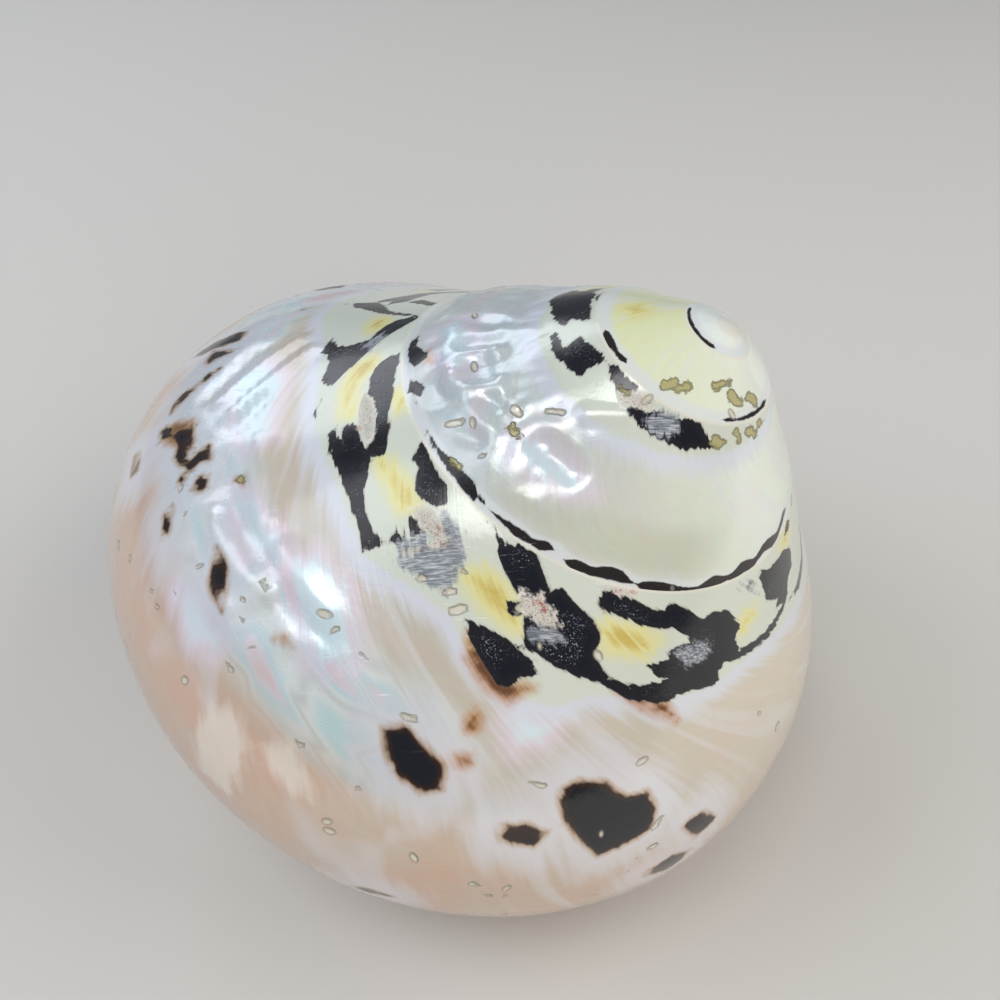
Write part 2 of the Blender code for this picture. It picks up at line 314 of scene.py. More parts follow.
CREAM_BLOTCHES = (
    ((-63, 31.0), (-67, 29.7), (-70, 31.3), (-72, 39.0), (-68, 40.1), (-64, 35.8)),
    ((-71, 29.7), (-74, 27.8), (-78, 28.7), (-81, 30.6), (-78, 31.6), (-74, 31.1)),
)

# A stroke is (degrees, mm below the seam) at both ends, then its half width in mm. Pits that borers left
# are cream inside, and stained olive where the skin beside them was green.
CREAM_PITS = (
    (-401, 16.5, -402, 15.2, 0.40), (-411, 7.9, -414, 6.9, 0.35), (-405, 10.4, -407, 10.2, 0.5),
    (-413, 15.3, -413, 14.8, 0.3), (-68, 8.4, -69, 8.2, 0.45), (-73, 7.7, -74, 7.3, 0.45),
    (-72, 5.4, -73, 5.4, 0.3), (-53, 19.5, -55, 19.5, 0.5), (-54, 22.5, -57, 23.0, 0.5),
    (-46, 27.9, -48, 28.2, 0.4), (-45, 31.6, -46, 32.1, 0.4), (-28, 28.3, -29, 28.1, 0.35),
    (-34, 35.9, -35, 36.4, 0.5), (-82, 19.0, -84, 18.5, 0.4), (-105, 32.0, -108, 33.4, 0.45),
    (-117, 28.4, -119, 28.5, 0.4), (-127, 27.3, -130, 26.3, 0.4), (-128, 23.8, -129, 23.0, 0.5),
    (-84, 27.0, -85, 27.5, 0.4), (-88, 34.2, -88, 34.7, 0.4), (-104, 19.3, -106, 19.6, 0.35),
    (-66, 17.4, -66, 16.9, 0.4), (-47, 30.9, -48, 31.2, 0.35), (-77, 8.8, -78, 7.9, 0.5),
    (-59, 26.5, -61, 27.0, 0.4), (-73, 26.2, -75, 26.9, 0.4), (-71, 17.0, -73, 17.3, 0.35),
    (-122, 32.5, -124, 33.0, 0.4),
)
OLIVE_PITS = (
    (-792, 5.6, -794, 4.8, 0.55), (-800, 4.9, -805, 4.4, 0.5), (-842, 3.6, -852, 4.0, 0.55),
    (-866, 3.8, -873, 4.4, 0.5), (-824, 3.1, -835, 2.3, 0.4), (-476, 1.5, -481, 1.9, 0.55),
    (-490, 0.8, -494, 1.7, 0.4), (-501, 1.0, -508, 1.6, 0.5), (-514, 0.8, -518, 1.2, 0.35),
    (-410, 11.4, -413, 11.3, 0.5), (-411, 17.6, -412, 17.3, 0.35), (-420, 1.5, -422, 1.4, 0.3),
    (-35, 18.3, -36, 17.9, 0.4),
)

# The wavy black line lies on the older turn, along the seam below it. Each point is (degrees on the turn
# below, mm above the seam, half width in mm), and a half width under 0 is a gap.
SUTURE_LINE = (
    (-62, 0.5, -0.3), (-67, 0.5, 0.07), (-72, 0.5, 0.34), (-76, 0.45, 0.51), (-78, 0.4, 0.14),
    (-80, 0.6, 0.54), (-83, 0.8, 0.51), (-84, 0.9, -0.3), (-87, 0.4, -0.3), (-89, 0.4, 0.57),
    (-94, 0.4, 0.41), (-100, 0.9, 0.68), (-105, 0.5, 0.27), (-107, 0.4, -0.2), (-109, 0.3, 0.54),
    (-115, 0.4, 0.47), (-120, 0.2, 0.20), (-126, 0.1, 0.16), (-131, 0.5, 0.61), (-137, 0.3, 0.27),
    (-143, 0.7, 0.68), (-149, 0.4, 0.41), (-155, 1.1, 0.47), (-160, 0.7, 0.61), (-164, 0.5, 0.41),
    (-172, 1.2, 0.41), (-178, 1.0, -0.3), (-380, 0.4, -0.3), (-383, 0.4, 0.27), (-392, 0.3, 0.47),
    (-398, 0.4, 0.14), (-405, 0.5, 0.34), (-411, 0.4, -0.3), (-470, 0.3, -0.3), (-480, 0.3, 0.16),
    (-525, 0.3, 0.20), (-535, 0.3, -0.3), (-700, 0.2, -0.3), (-706, 0.2, 0.10), (-735, 0.2, 0.22),
    (-770, 0.2, 0.18), (-795, 0.2, 0.20), (-812, 0.2, -0.3),
)

# The side that the photograph doesn't show gets flames and spots of the same kind, at a fixed seed.
chance = random.Random(11)
unseen_flames = []
unseen_spots = []
unseen_ochre = []
for degrees in list(range(36, 166, 15)) + list(range(-330, -200, 14)):
    degrees += chance.uniform(-3, 3)
    top = chance.choice((-0.3, 0.3, 1.4))
    slant = chance.uniform(8, 18)
    drop = chance.uniform(5.0, 10.0) if degrees > 0 else chance.uniform(3.5, 6.5)
    thick = chance.uniform(2.5, 5.0)
    tooth = chance.uniform(0.3, 1.6)
    unseen_flames.append((
        (degrees, top), (degrees - thick, top + chance.uniform(0.2, 1.0)),
        (degrees - slant * 0.4 - thick * 0.8, top + drop * 0.35),
        (degrees - slant * 0.5 - thick * (1 + tooth), top + drop * 0.42),
        (degrees - slant * 0.7 - thick * (1 + tooth), top + drop * 0.62),
        (degrees - slant * 0.8 - thick, top + drop * 0.7),
        (degrees - slant - thick * chance.uniform(0.4, 1.3), top + drop),
        (degrees - slant + 1, top + drop * chance.uniform(0.75, 0.95)),
        (degrees - slant * 0.6 + thick * chance.uniform(0.2, 0.9), top + drop * chance.uniform(0.55, 0.7)),
        (degrees - slant * 0.3 + thick * chance.uniform(-0.4, 0.3), top + drop * 0.3),
    ))
    if tooth > 0.8:
        unseen_ochre.append((
            (degrees + 1, top + drop * 0.35), (degrees + 3, top + drop * 0.5),
            (degrees - slant * 0.3, top + drop * 0.8), (degrees - slant * 0.6 + thick, top + drop * 0.75),
            (degrees - slant * 0.3 + thick, top + drop * 0.4),
        ))
for degrees in range(26, 160, 17):
    across = chance.uniform(19, 31)
    half = chance.uniform(0.8, 2.2)
    unseen_spots.append(tuple(
        (degrees - corner * 2 * chance.uniform(0.9, 1.1), across + half * rise * chance.uniform(0.8, 1.3))
        for corner, rise in ((-1.2, 0), (-0.5, -1), (0.9, -0.8), (1.4, 0.3), (0.6, 1), (-0.6, 0.9))
    ))

# Distances are kept up to FAR, in mm, and looked for in the rows up to REACH degrees past a patch.
FAR = 6.0
REACH = 14


def row_at(degrees):
    row = round((math.radians(degrees) - growth_angles[0]) / STEP)
    return min(max(row, 0), LAST)


def place_of(degrees, mm_below):
    row = row_at(degrees)
    known = ~np.isnan(below_seam[row])
    return np.array([np.interp(mm_below, below_seam[row][known], on_axis[row, known, k]) for k in range(3)])


def gap_to(points, start, end):
    """How far each point is from the straight line between two places, in mm."""
    along = end - start
    share = np.clip(((points - start) @ along) / max(along @ along, 1e-9), 0, 1)
    return np.linalg.norm(points - start - share[:, :, None] * along, axis=2)


def inside_outlines(outlines):
    """How far inside the nearest outline each point of the rows is, in mm, and less than 0 outside."""
    inside = np.full(below_seam.shape, -FAR)
    for outline in outlines:
        ends = [degrees for degrees, _ in outline]
        rows = slice(row_at(min(ends) - REACH), row_at(max(ends) + REACH) + 1)
        gap = np.full(below_seam[rows].shape, FAR)
        within = np.zeros(gap.shape, bool)
        for (a, a_below), (b, b_below) in zip(outline, outline[1:] + outline[:1]):
            parts = math.ceil(abs(b - a) / 4) or 1
            shares = np.linspace(0, 1, parts + 1)
            stops = [place_of(a + (b - a) * k, a_below + (b_below - a_below) * k) for k in shares]
            for start, end in zip(stops, stops[1:]):
                gap = np.fmin(gap, gap_to(on_axis[rows], start, end))
            if a != b:
                crossed = a_below + (degrees_of_row[rows] - a) * (b_below - a_below) / (b - a)
                between = (degrees_of_row[rows] < a) != (degrees_of_row[rows] < b)
                within ^= between & (below_seam[rows] < crossed)
        inside[rows] = np.fmax(inside[rows], np.where(within, gap, -gap))
    return inside


def inside_strokes(strokes):
    inside = np.full(below_seam.shape, -FAR)
    for from_degrees, from_below, to_degrees, to_below, half in strokes:
        ends = (from_degrees, to_degrees)
        rows = slice(row_at(min(ends) - REACH), row_at(max(ends) + REACH) + 1)
        gap = gap_to(on_axis[rows], place_of(from_degrees, from_below), place_of(to_degrees, to_below))
        inside[rows] = np.fmax(inside[rows], half - gap)
    return inside


def fade(values, start, end):
    """0 before start, 1 after end, and smooth between. start may be larger than end."""
    share = np.clip((values - start) / (end - start), 0, 1)
    return share * share * (3 - 2 * share)


degrees_of_row = np.degrees(growth_angles)[:, None] * np.ones(below_seam.shape)
above_next = band_width[:, None] - below_seam
line_at = [-degrees for degrees, _, _ in SUTURE_LINE]
degrees_below = -(degrees_of_row + 360)
line_middle = np.interp(degrees_below, line_at, [middle for _, middle, _ in SUTURE_LINE])
line_half = np.interp(degrees_below, line_at, [half for _, _, half in SUTURE_LINE])
line_half[(degrees_below < line_at[0]) | (degrees_below > line_at[-1])] = -0.3
rounding = np.array([1, 2, 3, 2, 1]) / 9
for column in range(COLUMNS + 1):
    line_middle[:, column] = np.convolve(line_middle[:, column], rounding, "same")
    line_half[:, column] = np.convolve(line_half[:, column], rounding, "same")
markings = {
    "skin": np.interp(degrees_of_row, *zip(*SKIN_EDGE)) - below_seam,
    "black": inside_outlines(BLACK_FLAMES + tuple(unseen_flames)),
    "ochre": inside_outlines(OCHRE_PATCHES + tuple(unseen_ochre)),
    "chalk": inside_outlines(CHALK),
    "red": inside_outlines(RED_CRUST),
    "grey": inside_outlines(WORN_GREY),
    "spot": inside_outlines(BODY_SPOTS + tuple(unseen_spots)),
    "amber": inside_outlines(AMBER_PATCHES),
    "painted_sheen": inside_outlines(SHEEN_PATCHES),
    "cream": inside_outlines(CREAM_BLOTCHES),
    "pit": inside_strokes(CREAM_PITS),
    "olive": inside_strokes(OLIVE_PITS),
    "line_half": line_half,
    "off_line": np.where(degrees_of_row > degrees_of_row[-1, 0] - 360, FAR, above_next - line_middle),
}
for name in markings:
    markings[name] = np.clip(markings[name], -FAR, FAR)
on_body = fade(degrees_of_row, -215, -190)
markings["wrinkled"] = (
    fade(below_seam, 14.5, 18.5) * fade(below_seam, 29, 24) * fade(degrees_of_row, -100, -74) * on_body
)
markings["hammered"] = (
    fade(below_seam, 4, 7) * fade(above_next, 1.5, 4) * fade(degrees_of_row, -455, -410) * (1 - on_body)
)
markings["rosy"] = fade(below_seam, 23, 30) * on_body
# Painted shade: a greyer band on the turn above, a few mm over the seam to the next turn, in the crease
# between the turns.
markings["dusky"] = (
    fade(above_next, 1.4, 2.4) * fade(above_next, 7, 4.5)
    * fade(degrees_of_row, -500, -470) * fade(degrees_of_row, -415, -432)
)

# Folds and dents that the grinding left in the mother-of-pearl: (degrees, mm below the seam) at both
# ends, half width in mm, and height in mm.
FOLDS = (
    (-366, 15.5, -387, 14.8, 1.1, 0.38), (-387, 14.8, -411, 13.5, 1.0, 0.34),
    (-379, 13.6, -380, 10.3, 0.9, 0.36), (-381, 10.2, -392, 9.8, 0.9, 0.34),
    (-393, 13.5, -394, 10.4, 0.9, 0.38), (-397, 10.8, -405, 10.2, 0.8, 0.28),
    (-384, 11.9, -388, 11.7, 1.4, -0.42), (-386, 16.8, -391, 16.5, 1.3, -0.36),
    (-374, 13.8, -375, 10.0, 1.0, -0.34), (-404, 15.2, -409, 14.8, 1.4, -0.28),
    (-399, 11.9, -402, 11.5, 0.8, -0.28), (-419, 10.1, -432, 9.9, 1.3, -0.42),
    (-361, 13.8, -365, 11.2, 1.2, -0.30), (-420, 5.2, -431, 3.0, 0.9, 0.25),
    (-2, 13.9, -18, 20.5, 1.1, 0.42), (-6, 11.5, -22, 18.6, 1.0, 0.34), (-41, 21.8, -55, 20.4, 1.2, 0.48),
    (-29, 15.4, -44, 16.8, 1.3, 0.38), (-51, 16.5, -62, 16.9, 1.2, 0.38),
    (-72, 21.2, -81, 22.3, 1.3, 0.30), (-53, 24.3, -62, 25.0, 1.2, 0.32),
    (-5, 18.5, -16, 22.1, 1.0, -0.34), (-38, 20.2, -50, 19.2, 1.2, -0.46),
    (-25, 18.4, -19, 15.6, 0.9, -0.32), (-58, 18.9, -67, 18.0, 1.2, -0.34),
    (-66, 21.6, -77, 22.1, 1.2, -0.26),
)
folds = np.zeros(below_seam.shape)
for from_degrees, from_below, to_degrees, to_below, half, height in FOLDS:
    inside = inside_strokes(((from_degrees, from_below, to_degrees, to_below, half),))
    folds += height * fade(inside, -half * 0.6, half)

# The surface is built unwound, with the distance from the axis as X, the growth angle as Y and the
# height as Z. A seam's points belong to both of its turns, so the tube is closed against itself.
points = []
point_of = np.full((LAST + 1, COLUMNS + 1), -1)
for i in range(LAST + 1):
    kept = BAND_STEPS if i < BASE_FROM else COLUMNS + 1
    for j in range(kept):
        if j == BAND_STEPS and i + STEPS_PER_TURN <= LAST:
            continue
        point_of[i, j] = len(points)
        points.append((profile[i, j, 0], growth_angles[i], profile[i, j, 1]))
for i in range(LAST + 1 - STEPS_PER_TURN):
    point_of[i, BAND_STEPS] = point_of[i + STEPS_PER_TURN, 0]
tip = len(points)
points.append((0, 0, 0))
navel = len(points)
points.append((0, 0, profile[BASE_FROM, COLUMNS, 1] + NAVEL_DEPTH))

corners = []
for i in range(LAST):
    for j in range(BAND_STEPS if i < BASE_FROM else COLUMNS):
        corners.append(((i, j), (i + 1, j), (i + 1, j + 1), (i, j + 1)))
faces = [[point_of[place] for place in face] for face in corners]
tip_loop = [(i, 0) for i in range(STEPS_PER_TURN + 1)] + [(0, j) for j in range(BAND_STEPS - 1, 0, -1)]
for a, b in zip(tip_loop, tip_loop[1:] + tip_loop[:1]):
    corners.append((b, a, a))
    faces.append([point_of[b], point_of[a], tip])
for i in range(BASE_FROM, LAST):
    corners.append(((i, COLUMNS), (i + 1, COLUMNS), (i, COLUMNS)))
    faces.append([point_of[i, COLUMNS], point_of[i + 1, COLUMNS], navel])
end = [(LAST, j) for j in range(COLUMNS + 1)] + [(LAST, COLUMNS)]
end += [(BASE_FROM, j) for j in range(COLUMNS, BAND_STEPS, -1)]
corners.append(tuple(end))
faces.append([point_of[LAST, j] for j in range(COLUMNS + 1)] + [navel]
             + [point_of[BASE_FROM, j] for j in range(COLUMNS, BAND_STEPS, -1)])

sheet = bpy.data.meshes.new("shell_surface")
sheet.from_pydata(points, [], faces)
corner_rows = np.array([place[0] for face in corners for place in face])
corner_columns = np.array([place[1] for face in corners for place in face])
for name, values in markings.items():
    layer = sheet.attributes.new(name, "FLOAT", "CORNER")
    layer.data.foreach_set("value", np.nan_to_num(values)[corner_rows, corner_columns].astype(np.float32))
# A growth line leans back as it goes down, steeply under the seam and less on the body's side, so the
# first coordinate of the map is the growth angle on that slanted line, and the second the mm down it.
LEAN_AT_SEAM = 0.062
LEAN_ON_SIDE = 0.02
lean_per_mm = LEAN_AT_SEAM + (LEAN_ON_SIDE - LEAN_AT_SEAM) * fade(np.arange(0, 120.0), 14, 24)
leant = np.concatenate([[0], np.cumsum(lean_per_mm)])
line_angles = growth_angles[:, None] + np.interp(np.nan_to_num(below_seam), np.arange(len(leant)), leant)
strip = sheet.uv_layers.new(name="growth")
on_strip = np.stack([line_angles, np.nan_to_num(below_seam)], axis=2)[corner_rows, corner_columns]
strip.data.foreach_set("uv", on_strip.ravel().astype(np.float32))
relief_masks = (("wrinkled", markings["wrinkled"]), ("hammered", markings["hammered"]), ("fold", folds))
for name, values in relief_masks:
    per_point = np.zeros(len(points), np.float32)
    known = point_of >= 0
    per_point[point_of[known]] = np.nan_to_num(values)[known]
    layer = sheet.attributes.new(name + "_relief", "FLOAT", "POINT")
    layer.data.foreach_set("value", per_point)

HOLLOW_FROM = -1.0
HOLLOW_LOWERED = 0.006
WALL = 0.0032
HOLLOW_RINGS = 48
HOLLOW_SIDES = 36
HOLLOW_TIP_RINGS = 8
HOLLOW_ROUNDING = 3
LEAN = math.radians(28)
LEAN_TOWARDS = math.radians(-14.3)
SPIN = math.radians(172.4)
TIP_HEIGHT = 0.0642


def nearest_crossing(start, direction, outline):
    """How far a ray from start goes before it meets the closed outline."""
    along = np.roll(outline, -1, axis=0) - outline
    turned = direction[0] * along[:, 1] - direction[1] * along[:, 0]
    turned = np.where(np.abs(turned) < 1e-12, np.inf, turned)
    to_a = outline - start
    reach = (to_a[:, 0] * along[:, 1] - to_a[:, 1] * along[:, 0]) / turned
    share = (to_a[:, 0] * direction[1] - to_a[:, 1] * direction[0]) / turned
    return reach[(reach > 0) & (share >= 0) & (share <= 1)].min()


def inside_ring(t):
    """A closed ring one wall inside the whorl, between its outer side, its base and the turn before it."""
    coarse_band = np.linspace(0, 1, 19)
    coarse_base = np.linspace(0, 1, 25)[1:]
    band, base = whorl_row(t, coarse_band, coarse_base)
    _, older_base = whorl_row(t - TURN, coarse_band, coarse_base)
    outline = np.array(band + base + older_base[::-1])
    middle = section_middle(t, seam(t)) - np.array([0, HOLLOW_LOWERED * section_spread(t)])
    bearings = np.linspace(-math.pi, math.pi, HOLLOW_SIDES, endpoint=False)
    arms = [np.array([math.cos(bearing), math.sin(bearing)]) for bearing in bearings]
    reaches = np.array([nearest_crossing(middle, arm, outline) for arm in arms]) - WALL
    for _ in range(HOLLOW_ROUNDING):
        beside = (np.roll(reaches, 1) + np.roll(reaches, -1)) / 2
        reaches = np.minimum(reaches, (reaches + beside) / 2)
    return middle, [middle + reach * arm for reach, arm in zip(reaches, arms)]


hollow_points = []
hollow_faces = []
hollow_span = YOUNGEST + STEP / 2 - HOLLOW_FROM
for ring in range(HOLLOW_RINGS + 1):
    t = HOLLOW_FROM + hollow_span * ring / HOLLOW_RINGS
    middle, outline = inside_ring(t)
    closing = min(1.0, (ring + 0.5) / HOLLOW_TIP_RINGS)
    share = math.sqrt(1 - (1 - closing) ** 2)
    for point in outline:
        point = middle + share * (point - middle)
        hollow_points.append((point[0], t, point[1]))
for ring in range(HOLLOW_RINGS):
    for side in range(HOLLOW_SIDES):
        a = ring * HOLLOW_SIDES + side
        b = ring * HOLLOW_SIDES + (side + 1) % HOLLOW_SIDES
        hollow_faces.append((a, a + HOLLOW_SIDES, b + HOLLOW_SIDES, b))
hollow_faces.append(tuple(range(HOLLOW_SIDES)))
hollow_faces.append(tuple(range(HOLLOW_RINGS * HOLLOW_SIDES, (HOLLOW_RINGS + 1) * HOLLOW_SIDES))[::-1])
hollow_sheet = bpy.data.meshes.new("mouth_surface")
hollow_sheet.from_pydata(hollow_points, [], hollow_faces)


def add(tree, kind, settings=None, inputs=None):
    """Adds a node with its settings. An input is a value, a socket, or a node, for its first output."""
    node = tree.nodes.new(kind)
    for name, value in (settings or {}).items():
        setattr(node, name, value)
    for place, value in (inputs or {}).items():
        if isinstance(value, bpy.types.Node):
            value = value.outputs[0]
        if isinstance(value, bpy.types.NodeSocket):
            tree.links.new(value, node.inputs[place])
        else:
            node.inputs[place].default_value = value
    return node


MATH = "ShaderNodeMath"
NOISE = "ShaderNodeTexNoise"
RANGE = "ShaderNodeMapRange"
TIMES = {"operation": "MULTIPLY"}
TIMES_PLUS = {"operation": "MULTIPLY_ADD"}
LARGER = {"operation": "MAXIMUM"}
MINUS = {"operation": "SUBTRACT"}
SMOOTHLY = {"interpolation_type": "SMOOTHSTEP"}


# Winding the shell. Geometry Nodes turn each row by its growth angle, lay the shell on its mouth, and
# give its skin the relief that the polisher left: wrinkles that follow the growth lines on the body,
# and soft hammered dents on the turn above.
WINDING = {
    "Spin": SPIN,
    "Lean": LEAN,
    "Lean towards": LEAN_TOWARDS,
    "Tip height": TIP_HEIGHT,
    "Fold height": 0.001,
    "Wrinkle height": 0.00016,
    "Wrinkle width": 0.0034,
    "Wrinkle length": 0.0090,
    "Dent height": 0.00022,
    "Dent width": 0.0050,
    "Ripple height": 0.00007,
    "Ripple width": 0.011,
    "Growth line slant": 60.0,
    "Seed": 4.0,
}
winding = bpy.data.node_groups.new("winding", "GeometryNodeTree")
winding.interface.new_socket("Geometry", in_out="INPUT", socket_type="NodeSocketGeometry")
winding.interface.new_socket("Geometry", in_out="OUTPUT", socket_type="NodeSocketGeometry")
winding_inputs = {}
for name, value in WINDING.items():
    winding_inputs[name] = winding.interface.new_socket(name, in_out="INPUT", socket_type="NodeSocketFloat")
winding_inputs["Material"] = winding.interface.new_socket(
    "Material", in_out="INPUT", socket_type="NodeSocketMaterial")
given = winding.nodes.new("NodeGroupInput")
unwound = add(winding, "GeometryNodeInputPosition")
parts = add(winding, "ShaderNodeSeparateXYZ", inputs={0: unwound})
turned = add(winding, MATH, MINUS, {0: parts.outputs[1], 1: given.outputs["Spin"]})
across = add(winding, MATH, {"operation": "COSINE"}, {0: turned})
behind = add(winding, MATH, {"operation": "SINE"}, {0: turned})
wound_x = add(winding, MATH, TIMES, {0: parts.outputs[0], 1: across})
wound_y = add(winding, MATH, TIMES, {0: parts.outputs[0], 1: behind})
wound_minus_y = add(winding, MATH, TIMES, {0: wound_y, 1: -1.0})
wound_place = add(winding, "ShaderNodeCombineXYZ",
    inputs={0: wound_x, 1: wound_minus_y, 2: parts.outputs[2]})
kept_strip = add(winding, "GeometryNodeStoreNamedAttribute",
    {"data_type": "FLOAT_VECTOR", "domain": "POINT"},
    {"Geometry": given.outputs["Geometry"], "Name": "unwound", "Value": unwound})
wound = add(winding, "GeometryNodeSetPosition", inputs={"Geometry": kept_strip, "Position": wound_place})
strip_place = add(winding, "GeometryNodeInputNamedAttribute", {"data_type": "FLOAT_VECTOR"},
    {"Name": "unwound"})
strip_parts = add(winding, "ShaderNodeSeparateXYZ", inputs={0: strip_place})
# A growth line leans back as it goes down, so the place along it is the angle plus a share of the height.
slanted = add(winding, MATH, TIMES, {0: strip_parts.outputs[2], 1: given.outputs["Growth line slant"]})
slanted_angle = add(winding, MATH, MINUS, {0: strip_parts.outputs[1], 1: slanted})
MEAN_RADIUS = 0.036
over_width = add(winding, MATH, {"operation": "DIVIDE"},
    {0: MEAN_RADIUS, 1: given.outputs["Wrinkle width"]})
along = add(winding, MATH, TIMES, {0: slanted_angle, 1: over_width})
down = add(winding, MATH, {"operation": "DIVIDE"},
    {0: strip_parts.outputs[2], 1: given.outputs["Wrinkle length"]})
wrinkle_place = add(winding, "ShaderNodeCombineXYZ", inputs={0: along, 1: down, 2: given.outputs["Seed"]})
wrinkles = add(winding, NOISE, inputs={"Vector": wrinkle_place, "Scale": 1.0, "Detail": 2.5,
    "Roughness": 0.55, "Distortion": 0.6})
place = add(winding, "GeometryNodeInputPosition")
over_dent = add(winding, MATH, {"operation": "DIVIDE"}, {0: 1.0, 1: given.outputs["Dent width"]})
dents = add(winding, NOISE, inputs={"Vector": place, "Scale": over_dent, "Detail": 1.2,
    "Roughness": 0.4, "Distortion": 0.9})
over_ripple = add(winding, MATH, {"operation": "DIVIDE"}, {0: 1.0, 1: given.outputs["Ripple width"]})
ripples = add(winding, NOISE, inputs={"Vector": place, "Scale": over_ripple, "Detail": 1.0})
relief = 0.0
for pattern, height, mask in (
    (wrinkles, "Wrinkle height", "wrinkled_relief"),
    (dents, "Dent height", "hammered_relief"),
    (ripples, "Ripple height", None),
):
    centred = add(winding, RANGE, {},
        {"Value": pattern.outputs[0], "From Min": 0.25, "From Max": 0.75, "To Min": -1.0, "To Max": 1.0})
    raised = add(winding, MATH, TIMES, {0: centred, 1: given.outputs[height]})
    if mask:
        where = add(winding, "GeometryNodeInputNamedAttribute", {"data_type": "FLOAT"}, {"Name": mask})
        raised = add(winding, MATH, TIMES, {0: raised, 1: where})
    relief = add(winding, MATH, {"operation": "ADD"}, {0: relief, 1: raised})
fold = add(winding, "GeometryNodeInputNamedAttribute", {"data_type": "FLOAT"}, {"Name": "fold_relief"})
relief = add(winding, MATH, TIMES_PLUS, {0: fold, 1: given.outputs["Fold height"], 2: relief})
outward = add(winding, "GeometryNodeInputNormal")
offset = add(winding, "ShaderNodeVectorMath", {"operation": "SCALE"}, {0: outward, "Scale": relief})
embossed = add(winding, "GeometryNodeSetPosition", inputs={"Geometry": wound, "Offset": offset})
stance = add(winding, "ShaderNodeCombineXYZ",
    inputs={1: given.outputs["Lean"], 2: given.outputs["Lean towards"]})
height_above = add(winding, "ShaderNodeCombineXYZ", inputs={2: given.outputs["Tip height"]})
laid = add(winding, "GeometryNodeTransform",
    inputs={"Geometry": embossed, "Translation": height_above, "Rotation": stance})
whole = add(winding, "GeometryNodeRealizeInstances", inputs={0: laid})
finished = add(winding, "GeometryNodeSetMaterial",
    inputs={"Geometry": whole, "Material": given.outputs["Material"]})
add(winding, "NodeGroupOutput", inputs={0: finished})


# The finish. The shell is polished mother-of-pearl, aragonite in thin layers, under what is left of its
# chalky, black and ochre skin; the play of pink, green and blue where the layers are cut aslant is painted
# into its colour as iridescent sheen. Ground with a fine wheel and buffed, so it has a clear gloss, hair
# scratches, and oval pits that borers left.
def linear(code, alpha=1.0):
    channels = [int(code[k:k + 2], 16) / 255 for k in (1, 3, 5)]
    return tuple(c / 12.92 if c <= 0.04045 else ((c + 0.055) / 1.055) ** 2.4 for c in channels) + (alpha,)


TO_MM = 1000.0
nacre = bpy.data.materials.new("polished_nacre")
nacre.use_nodes = True
coat = nacre.node_tree
shader = coat.nodes["Principled BSDF"]
strip_uv = add(coat, "ShaderNodeUVMap", {"uv_map": "growth"})
on_strip = add(coat, "ShaderNodeSeparateXYZ", inputs={0: strip_uv})
object_place = add(coat, "ShaderNodeTexCoord").outputs["Object"]
in_mm = add(coat, "ShaderNodeVectorMath", {"operation": "SCALE"}, {0: object_place, "Scale": TO_MM})
growth_angle = on_strip.outputs[0]
below = on_strip.outputs[1]
lengthwise = add(coat, MATH, TIMES, {0: growth_angle, 1: MEAN_RADIUS * TO_MM})
line_place = add(coat, "ShaderNodeCombineXYZ", inputs={0: lengthwise, 1: below})

# Pigment frays along the growth lines, in streaks about a millimetre wide, and crumbles in fine grains.
fray_place = add(coat, "ShaderNodeMapping", inputs={"Vector": line_place, "Scale": (0.75, 0.12, 1.0)})
fray = add(coat, NOISE, {"noise_dimensions": "2D"},
    {"Vector": fray_place, "Scale": 1.0, "Detail": 2.5, "Roughness": 0.55})
fray = add(coat, MATH, TIMES_PLUS, {0: fray, 1: 2.0, 2: -1.0})
grain = add(coat, NOISE, inputs={"Vector": in_mm, "Scale": 1.1, "Detail": 4.0, "Roughness": 0.65})
crumbs = add(coat, MATH, TIMES_PLUS, {0: grain, 1: 2.0, 2: -1.0})

# The ground colour runs from the worn white tip through pale green to silver and then warm beige.
AGE_COLOURS = (
    (-1000, "#dfe6df"), (-890, "#dfe6dc"), (-830, "#dbe2cf"), (-780, "#dadfbf"), (-715, "#d8dba6"),
    (-640, "#d4dab8"), (-590, "#d6ddc8"), (-480, "#d9e2d6"), (-445, "#cfd5c5"), (-425, "#c5c7bb"),
    (-390, "#c1c1b6"), (-345, "#b9c3c6"), (-215, "#cbc6b8"), (-150, "#cdc3b2"), (-100, "#c5bbaa"),
    (-40, "#b7ae9e"), (60, "#bfb4a3"), (169, "#c7beaf"),
)
youngest_age, oldest_age = AGE_COLOURS[-1][0], AGE_COLOURS[0][0]
age = add(coat, RANGE, inputs={"Value": growth_angle, "From Min": math.radians(oldest_age),
    "From Max": math.radians(youngest_age)})
ground = add(coat, "ShaderNodeValToRGB", inputs={0: age})
stops = ground.color_ramp.elements
while len(stops) < len(AGE_COLOURS):
    stops.new(0.5)
for stop, (degrees, colour) in zip(stops, AGE_COLOURS):
    stop.position = (degrees - oldest_age) / (youngest_age - oldest_age)
    stop.color = linear(colour)

masks = {}
for name in markings:
    masks[name] = add(coat, "ShaderNodeAttribute", {"attribute_name": name}).outputs["Fac"]

# Clouds inside the nacre, 5 to 15 mm across: rosy and beige low on the body, and lilac white streaks
# along the growth lines where the layers are thicker.
clouds = add(coat, NOISE, inputs={"Vector": in_mm, "Scale": 0.085, "Detail": 3.0, "Roughness": 0.5})
cloud_share = add(coat, RANGE, SMOOTHLY,
    {"Value": clouds, "From Min": 0.30, "From Max": 0.62, "To Min": 0.35, "To Max": 0.95})
rosy_share = add(coat, MATH, TIMES, {0: masks["rosy"], 1: cloud_share})
milk_place = add(coat, "ShaderNodeMapping", inputs={"Vector": line_place, "Scale": (0.10, 0.06, 1.0)})
milk = add(coat, NOISE, {"noise_dimensions": "2D"},
    {"Vector": milk_place, "Scale": 1.0, "Detail": 2.5, "Roughness": 0.5, "Distortion": 0.8})
milk_share = add(coat, RANGE, SMOOTHLY,
    {"Value": milk, "From Min": 0.50, "From Max": 0.68, "To Max": 0.38})
